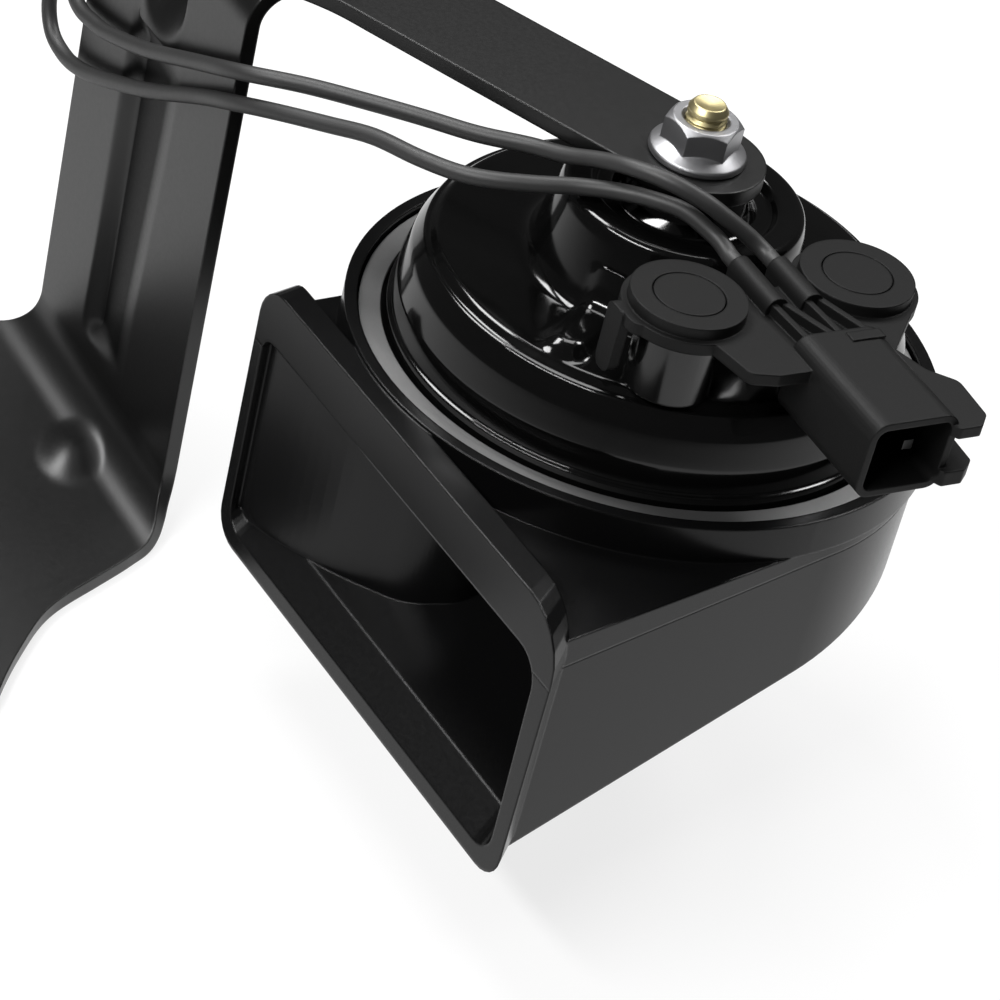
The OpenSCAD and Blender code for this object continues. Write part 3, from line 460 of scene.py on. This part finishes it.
# The same within the low bend, by degrees from the leg
BEND_RIGHT = [(0, 0), (8, 0.1), (20, 0.8), (33, 2.1), (44, 3.9), (58, 6.3), (71, 8), (90, 9.6)]
BEND_LEFT = [(0, LEG_LEFT), (30, LEG_LEFT - 0.4), (60, LEG_LEFT - 1.8), (90, -54.4)]

# A row of the sheet's outer face: its place, the direction into the sheet, its ends, where it lies, and
# its place along the foot and low bend laid flat
Row = namedtuple("Row", "n z dn dz left right zone flat", defaults=[0.0])


def from_leg(s, n, z):
    c, t = cos_sin(LEG_TURN)
    return at_horn(LEG_AT[0] + s * c - n * t, LEG_AT[1] + s * t + n * c, z)


def to_leg(x, y):
    c, t = cos_sin(LEG_TURN)
    dx, dy = x - LEG_AT[0], y - LEG_AT[1]
    return dx * c + dy * t, dy * c - dx * t


def along(points, x):
    """Smooth curve through (x, y) points, read at x."""
    if x <= points[0][0]:
        return points[0][1]
    for i in range(len(points) - 1):
        (x0, y0), (x1, y1) = points[i], points[i + 1]
        if x <= x1:
            before = points[i - 1] if i else points[i]
            after = points[i + 2] if i + 2 < len(points) else points[i + 1]
            m0 = (y1 - before[1]) / (x1 - before[0])
            m1 = (after[1] - y0) / (after[0] - x0)
            h = x1 - x0
            t = (x - x0) / h
            return ((2 * t ** 3 - 3 * t * t + 1) * y0 + (t ** 3 - 2 * t * t + t) * h * m0
                    + (3 * t * t - 2 * t ** 3) * y1 + (t ** 3 - t * t) * h * m1)
    return points[-1][1]


def bulge(d):
    """Lets a pressed form rise softly out of the sheet."""
    return 0.5 * (d + math.sqrt(d * d + SOFT ** 2)) - SOFT / 2 if d > -5 * SOFT else 0.0


def strap_edges(n):
    """Left and right edges of the flange and strap at a distance behind the leg's face."""
    sx, sn = to_leg(0, 0)
    ux, un = to_leg(math.cos(STRAP_TURN), math.sin(STRAP_TURN))
    ux, un = ux - sx, un - sn
    near_x, near_n = sx - un * STRAP_HALF, sn + ux * STRAP_HALF
    far_x, far_n = sx + un * STRAP_HALF, sn - ux * STRAP_HALF

    def near_edge(place):
        return near_x + (place - near_n) * ux / un
    if n > near_n:
        right = sx + math.sqrt(max(0.0, STRAP_HALF ** 2 - (n - sn) ** 2))
    elif n < STRAP_MEET:
        met = near_edge(STRAP_MEET)
        right = along([(5.5, 0), (7, 0.4), (9, 2.6), (11.5, 0.55 * met), (STRAP_MEET, met),
                       (16, near_edge(16.0))], n)
    else:
        right = near_edge(n)
    if n < FLANGE_BACK:
        back = FLANGE_BACK - n
        left = LEG_LEFT
        if back < CORNER_R:
            left += CORNER_R - math.sqrt(max(0.0, CORNER_R ** 2 - (CORNER_R - back) ** 2))
    elif n > far_n:
        left = sx - math.sqrt(max(0.0, STRAP_HALF ** 2 - (n - sn) ** 2))
    else:
        left = far_x + (n - far_n) * ux / un
    return left, right


def bracket_rows():
    rows = []
    for i in range(FOOT_ROWS):
        n = FOOT_FRONT + (-LOW_R - FOOT_FRONT) * i / FOOT_ROWS
        rows.append(Row(n, FOOT_TOP, 0, -1, along(FOOT_LEFT, n), along(FOOT_RIGHT, n), "foot", n))
    for i in range(LOW_ROWS):
        a = 90 - 90 / LOW_ROWS * i
        c, t = cos_sin(a)
        rows.append(Row(-LOW_R * (1 - c), FOOT_TOP + LOW_R * (1 - t), c, -t, along(BEND_LEFT, a),
                        along(BEND_RIGHT, a), "foot", LOW_R * math.radians(90 - a) - LOW_R))
    low, high = FOOT_TOP + LOW_R, SEAT_TOP - TOP_R
    for i in range(LEG_ROWS):
        rows.append(Row(0, low + (high - low) * i / LEG_ROWS, 1, 0, LEG_LEFT, 0, "leg"))
    for i in range(TOP_ROWS):
        c, t = cos_sin(90 / TOP_ROWS * i)
        n = TOP_R * (1 - c)
        rows.append(Row(n, high + TOP_R * t, c, -t, *strap_edges(n), "top"))
    sn = to_leg(0, 0)[1]
    corner = FLANGE_BACK - CORNER_R
    # Rows crowd at the flange's corner, at the step from flange to strap, and at the strap's round end
    places = [TOP_R + (corner - TOP_R) * i / STRAP_ROWS for i in range(STRAP_ROWS)]
    places += [FLANGE_BACK - CORNER_R * math.cos(math.radians(a)) for a in range(0, 90, 6)]
    places += [FLANGE_BACK - 0.01, FLANGE_BACK + 0.01]
    places += [FLANGE_BACK + (sn - FLANGE_BACK) * i / STRAP_ROWS for i in range(1, STRAP_ROWS)]
    places += [sn + STRAP_HALF * math.sin(math.radians(a)) for a in range(0, 90, 3)]
    places.append(sn + STRAP_HALF - 0.005)
    rows += [Row(n, SEAT_TOP, 0, -1, *strap_edges(n), "flat") for n in places]
    return rows


def channel_right(z):
    return CHANNEL_RIGHT - CHANNEL_LEAN * step(*LEAN_Z, z)


def dented(s, row):
    """Depth of the dent over the upper bend."""
    across = 1 - ((s - DENT_S) / DENT_HALF) ** 2
    if across <= 0:
        return None
    into = (row.z - DENT_LOW - DENT_RISE * (1 - across)) * DENT_SLOPE
    if row.zone != "leg":
        c = max(0.0, 1 - row.n / TOP_R) if row.zone == "top" else 0.0
        t = math.sqrt(max(0.0, 1 - c * c))
        into = min((into - row.n) / (c + DENT_SLOPE * t), DENT_MOST)
    return bulge(into) * min(1.0, DENT_FIRM * across)


def pressed(s, row):
    """How far the sheet is pressed into itself (+) or out towards the front (-)."""
    z = row.z
    if row.zone == "foot":
        c, t = cos_sin(PRESSING_TURN)
        ds, dv = s - PRESSING_AT[0], row.flat - PRESSING_AT[1]
        off = ((ds * c + dv * t) / PRESSING_HALF[0]) ** 2 + ((dv * c - ds * t) / PRESSING_HALF[1]) ** 2
        return -PRESSING_HEIGHT * (1 - off) ** 2 if off < 1 else 0.0
    if z > DENT_FROM_Z:
        depth = dented(s, row)
        if depth is not None:
            return depth
    if row.zone == "leg" and CHANNEL_LEFT < s < CHANNEL_RIGHT:
        ends = step(*CHANNEL_LOW_END, z) * (1 - step(*CHANNEL_TOP_END, z))
        wall = step(CHANNEL_LEFT, CHANNEL_FLOOR, s)
        floor = max(0.0, 1 - max(0.0, s - CHANNEL_FLOOR) / (channel_right(z) - CHANNEL_FLOOR))
        return CHANNEL_DEEP * ends * wall * floor * (1 - CHANNEL_SAG * (1 - floor) ** 3)
    return 0.0


def painted_shade_share(s, row):
    """Share of the painted shade on the channel's floor, where the gloss is lowered so that the floor renders
    darker.
    """
    if row.zone != "leg":
        return 0.0
    right = channel_right(row.z)
    ends = step(*SHADE_LOW_END, row.z) * (1 - step(*SHADE_TOP_END, row.z))
    left_side = step(CHANNEL_FLOOR + SHADE_LEFT[0], CHANNEL_FLOOR + SHADE_LEFT[1], s)
    return ends * left_side * (1 - step(right + SHADE_RIGHT[0], right + SHADE_RIGHT[1], s))


def make_bracket():
    verts, faces, painted_shade = [], [], []
    rows = bracket_rows()
    for row in rows:
        for k in range(ACROSS):
            s = row.left + (row.right - row.left) * k / (ACROSS - 1)
            outer = pressed(s, row)
            for deep in (outer, outer + SHEET):
                verts.append(from_leg(s, row.n + row.dn * deep, row.z + row.dz * deep))
            # Painted shade share on the outer face only; the inner face gets none
            painted_shade += [painted_shade_share(s, row), 0.0]
    # Points alternate between the outer and the inner face
    width = 2 * ACROSS
    for i in range(len(rows) - 1):
        for k in range(ACROSS - 1):
            a, b = i * width + 2 * k, (i + 1) * width + 2 * k
            faces.append((a, a + 2, b + 2, b))
            faces.append((a + 1, b + 1, b + 3, a + 3))
        a = i * width
        faces.append((a, a + width, a + width + 1, a + 1))
        a += width - 2
        faces.append((a, a + 1, a + width + 1, a + width))
    for k in range(ACROSS - 1):
        a, b = 2 * k, (len(rows) - 1) * width + 2 * k
        faces.append((a, a + 1, a + 3, a + 2))
        faces.append((b, b + 2, b + 3, b + 1))
    piece = new_object("bracket_sheet", verts, faces)
    # This point attribute carries the painted shade: the channel floor's gloss is lowered there so that it
    # renders darker
    piece.data.attributes.new("painted_shade", "FLOAT", "POINT").data.foreach_set("value", painted_shade)
    smooth_up_to(piece, BRACKET_SHARP)
    return piece


# Holes for the bolt and the stud, and the tool that cuts them
BOLT_HOLE_R = 4.25
STUD_HOLE_R = 3.25
STRAP_MIDDLE = 31
BORE_SIDES = 64
BORE_HALF = 8


def bore(piece, name, x, y, z, radius):
    """Cuts a round upright hole through a piece."""
    verts = []
    for end in (-BORE_HALF, BORE_HALF):
        for k in range(BORE_SIDES):
            a = 2 * math.pi * k / BORE_SIDES
            verts.append(at_horn(x + radius * math.cos(a), y + radius * math.sin(a), z + end))
    tool = new_object(name, verts, band(0, BORE_SIDES, BORE_SIDES) + caps(BORE_SIDES, BORE_SIDES))
    cut = piece.modifiers.new(name, "BOOLEAN")
    cut.operation = "DIFFERENCE"
    cut.object = tool
    cut.solver = "EXACT"
    bpy.context.view_layer.update()
    done = bpy.data.meshes.new_from_object(piece.evaluated_get(bpy.context.evaluated_depsgraph_get()))
    piece.modifiers.clear()
    piece.data = done
    bpy.data.objects.remove(tool)


sheet = make_bracket()
bore(sheet, "bolt_hole", -HORN.x / MM, -HORN.y / MM, FOOT_TOP, BOLT_HOLE_R)
bore(sheet, "stud_hole", 0, 0, STRAP_MIDDLE, STUD_HOLE_R)
stand_for(sheet, "bracket")

# Materials
BEVEL_SAMPLES = 6
BUMP_DISTANCE = 0.00005
ROUGHNESS_SPREAD = 0.02
# Roughness varies over patches this much wider than the grain, where the noise runs between these levels
PATCH_SHARE = 0.35
NOISE_RANGE = (0.3, 0.7)
NOISE_DETAIL = 3.0
# Gloss of a plain surface, and of the channel's floor, whose lower gloss is painted shade
PLAIN_GLOSS = 0.5
SHADED_FLOOR_GLOSS = 0.03


def new_material(name, color, roughness, metallic=0.0, specular=PLAIN_GLOSS):
    material = bpy.data.materials.new(name)
    material.use_nodes = True
    shader = material.node_tree.nodes["Principled BSDF"]
    shader.inputs["Base Color"].default_value = (*color, 1.0)
    shader.inputs["Roughness"].default_value = roughness
    shader.inputs["Metallic"].default_value = metallic
    shader.inputs["Specular IOR Level"].default_value = specular
    return material


def ranged(tree, value, to_min, to_max, from_min=0.0, from_max=1.0, kind="LINEAR"):
    """Maps a value to a range."""
    ramp = tree.nodes.new("ShaderNodeMapRange")
    ramp.interpolation_type = kind
    ramp.inputs["From Min"].default_value = from_min
    ramp.inputs["From Max"].default_value = from_max
    ramp.inputs["To Min"].default_value = to_min
    ramp.inputs["To Max"].default_value = to_max
    tree.links.new(value, ramp.inputs["Value"])
    return ramp.outputs["Result"]


def add_noise(tree, scale):
    coords = tree.nodes.new("ShaderNodeTexCoord")
    noise = tree.nodes.new("ShaderNodeTexNoise")
    noise.inputs["Scale"].default_value = scale
    noise.inputs["Detail"].default_value = NOISE_DETAIL
    tree.links.new(coords.outputs["Object"], noise.inputs["Vector"])
    return noise.outputs["Fac"]


def surface(name, color, roughness, grain, bump, edge=0.0004, **rest):
    """A material with uneven roughness, fine relief, and edges that catch the light as if rounded off."""
    material = new_material(name, color, roughness, **rest)
    tree = material.node_tree
    shader = tree.nodes["Principled BSDF"]
    uneven = ranged(tree, add_noise(tree, grain * PATCH_SHARE), roughness - ROUGHNESS_SPREAD,
                    roughness + ROUGHNESS_SPREAD, *NOISE_RANGE)
    tree.links.new(uneven, shader.inputs["Roughness"])
    rounded = tree.nodes.new("ShaderNodeBevel")
    rounded.samples = BEVEL_SAMPLES
    rounded.inputs["Radius"].default_value = edge
    relief = tree.nodes.new("ShaderNodeBump")
    relief.inputs["Strength"].default_value = bump
    relief.inputs["Distance"].default_value = BUMP_DISTANCE
    tree.links.new(rounded.outputs["Normal"], relief.inputs["Normal"])
    tree.links.new(add_noise(tree, grain), relief.inputs["Height"])
    tree.links.new(relief.outputs["Normal"], shader.inputs["Normal"])
    return material


def shade_by_attribute(material, name, level):
    """Lowers the gloss where the mesh's attribute is high."""
    tree = material.node_tree
    share = tree.nodes.new("ShaderNodeAttribute")
    share.attribute_name = name
    gloss = tree.nodes["Principled BSDF"].inputs["Specular IOR Level"]
    tree.links.new(ranged(tree, share.outputs["Fac"], PLAIN_GLOSS, level), gloss)


# Colour, roughness, grain, bump and the rest of what surface() takes
LOOKS = {
    "trumpet_plastic": ((0.003, 0.003, 0.0031), 0.24, 5000, 0.02, dict(edge=0.0005, specular=0.22)),
    "gasket_rubber": ((0.02, 0.02, 0.02), 0.7, 2000, 0.2, {}),
    "spring_steel": ((0.62, 0.62, 0.64), 0.3, 1500, 0.05, dict(metallic=1.0)),
    "bare_steel": ((0.23, 0.23, 0.23), 0.55, 3500, 0.3, dict(metallic=1.0, edge=0.0002)),
    "housing_paint": ((0.002, 0.002, 0.002), 0.1, 900, 0.02, dict(edge=0.0003, specular=0.4)),
    "yellow_zinc": ((0.56, 0.49, 0.27), 0.4, 2000, 0.1, dict(metallic=1.0, edge=0.0002)),
    "bobbin_plastic": ((0.5, 0.45, 0.36), 0.5, 2000, 0.1, {}),
    "copper_wire": ((0.6, 0.28, 0.12), 0.35, 2000, 0.2, dict(metallic=1.0)),
    "contact_brass": ((0.7, 0.58, 0.3), 0.35, 2000, 0.1, dict(metallic=1.0)),
    "bracket_paint": ((0.003, 0.003, 0.003), 0.36, 4000, 0.1, dict(edge=0.0005)),
    "bright_zinc": ((0.37, 0.37, 0.38), 0.42, 2500, 0.25, dict(metallic=1.0, edge=0.0003)),
    "cover_plastic": ((0.006, 0.006, 0.006), 0.5, 4000, 0.3, dict(specular=0.16)),
    "bush_plastic": ((0.003, 0.003, 0.003), 0.16, 1500, 0.04, {}),
    "pin_metal": ((0.1, 0.1, 0.1), 0.4, 2000, 0.05, dict(metallic=1.0, edge=0.0002)),
    "lead_sheath": ((0.02, 0.02, 0.02), 0.5, 3500, 0.12, {})}
MATERIALS = {name: surface(name, *look, **rest) for name, (*look, rest) in LOOKS.items()}
# Painted shade: the bracket's channel floor gets lowered gloss so that it renders darker
shade_by_attribute(MATERIALS["bracket_paint"], "painted_shade", SHADED_FLOOR_GLOSS)


def paint(piece, slot):
    piece.data.materials.clear()
    piece.data.materials.append(MATERIALS[slot])


for subpart in frame["record"]["subparts"]:
    for material_slot in nodes[subpart["node"]].material_slots:
        material_slot.material = MATERIALS[subpart["material_slot"]]
for lead in leads:
    paint(lead, "lead_sheath")
paint(stud, "yellow_zinc")
paint(sheet, "bracket_paint")
paint(nut, "bright_zinc")
paint(housing, "housing_paint")

# Studio
FLOOR_Z = 0.0
FLOOR_HALF = 6.0
FLOOR_TONE = 0.9
FLOOR_ROUGHNESS = 0.9
# The white table top that glossy faces see fades out between these distances from the part
TABLE_R = (0.22, 0.60)
TABLE_GLOSS = 1.0
# How much of the real, shaded floor the camera sees through the plain white
SHADOW_SHARE = 0.2
AMBIENT = 0.07
# Azimuth, elevation, distance, width, height and power of the lamps
LAMPS = {
    "key": (-85, 45, 1.2, 0.8, 0.12, 14),
    "left": (-165, 55, 1.2, 0.5, 0.3, 10),
    "back": (95, 50, 1.4, 0.6, 0.2, 8),
    "top": (140, 62, 1.2, 0.5, 0.5, 5)}


def lit_share(tree, *kinds):
    """1 for the named kinds of ray, 0 for the others."""
    path = tree.nodes.new("ShaderNodeLightPath")
    total = path.outputs[kinds[0]]
    for kind in kinds[1:]:
        most = tree.nodes.new("ShaderNodeMath")
        most.operation = "MAXIMUM"
        tree.links.new(total, most.inputs[0])
        tree.links.new(path.outputs[kind], most.inputs[1])
        total = most.outputs[0]
    return total


def seen_directly(tree):
    return lit_share(tree, "Is Camera Ray", "Is Transmission Ray")


def mixed(tree, share, first, second):
    """A mix of two shaders' outputs; the share is a number or another node's output."""
    mix = tree.nodes.new("ShaderNodeMixShader")
    if isinstance(share, float):
        mix.inputs[0].default_value = share
    else:
        tree.links.new(share, mix.inputs[0])
    tree.links.new(first, mix.inputs[1])
    tree.links.new(second, mix.inputs[2])
    return mix.outputs[0]


def make_floor():
    corners = [(-1, -1), (1, -1), (1, 1), (-1, 1)]
    floor = new_object("floor", [(x * FLOOR_HALF, y * FLOOR_HALF, FLOOR_Z) for x, y in corners], [(0, 1, 2, 3)])
    material = new_material("floor_white", (FLOOR_TONE,) * 3, FLOOR_ROUGHNESS, specular=0.0)
    tree = material.node_tree
    shaded = tree.nodes["Principled BSDF"].outputs[0]
    white = tree.nodes.new("ShaderNodeEmission")
    # Glossy faces see a table top that fades with distance
    coords = tree.nodes.new("ShaderNodeTexCoord")
    away = tree.nodes.new("ShaderNodeVectorMath")
    away.operation = "DISTANCE"
    away.inputs[1].default_value = at_horn(0, 0, -HORN.z / MM)
    tree.links.new(coords.outputs["Object"], away.inputs[0])
    mirrored = tree.nodes.new("ShaderNodeEmission")
    fade = ranged(tree, away.outputs["Value"], TABLE_GLOSS, AMBIENT, *TABLE_R, kind="SMOOTHSTEP")
    tree.links.new(fade, mirrored.inputs["Strength"])
    glossy = mixed(tree, lit_share(tree, "Is Glossy Ray"), shaded, mirrored.outputs[0])
    whole = mixed(tree, seen_directly(tree), glossy, mixed(tree, SHADOW_SHARE, white.outputs[0], shaded))
    tree.links.new(whole, tree.nodes["Material Output"].inputs["Surface"])
    floor.data.materials.append(material)


def make_world():
    world = bpy.data.worlds.new("studio")
    world.use_nodes = True
    tree = world.node_tree
    back = tree.nodes["Background"]
    back.inputs["Color"].default_value = (1.0, 1.0, 1.0, 1.0)
    tree.links.new(ranged(tree, seen_directly(tree), AMBIENT, 1.0), back.inputs["Strength"])
    bpy.context.scene.world = world


def area_light(name, azimuth, elevation, distance, width, height, power):
    data = bpy.data.lights.new(name, "AREA")
    data.shape = "RECTANGLE"
    data.size = width
    data.size_y = height
    data.energy = power
    light = bpy.data.objects.new(name, data)
    (az_c, az_s), (el_c, el_s) = cos_sin(azimuth), cos_sin(elevation)
    target = at_horn(0, 0, 0)
    place = target + distance * Vector((az_c * el_c, az_s * el_c, el_s))
    light.location = place
    light.rotation_euler = (target - place).to_track_quat("-Z", "Y").to_euler()
    bpy.context.scene.collection.objects.link(light)


make_floor()
make_world()
for lamp, setting in LAMPS.items():
    area_light(lamp, *setting)

bpy.context.scene.view_settings.view_transform = "Standard"
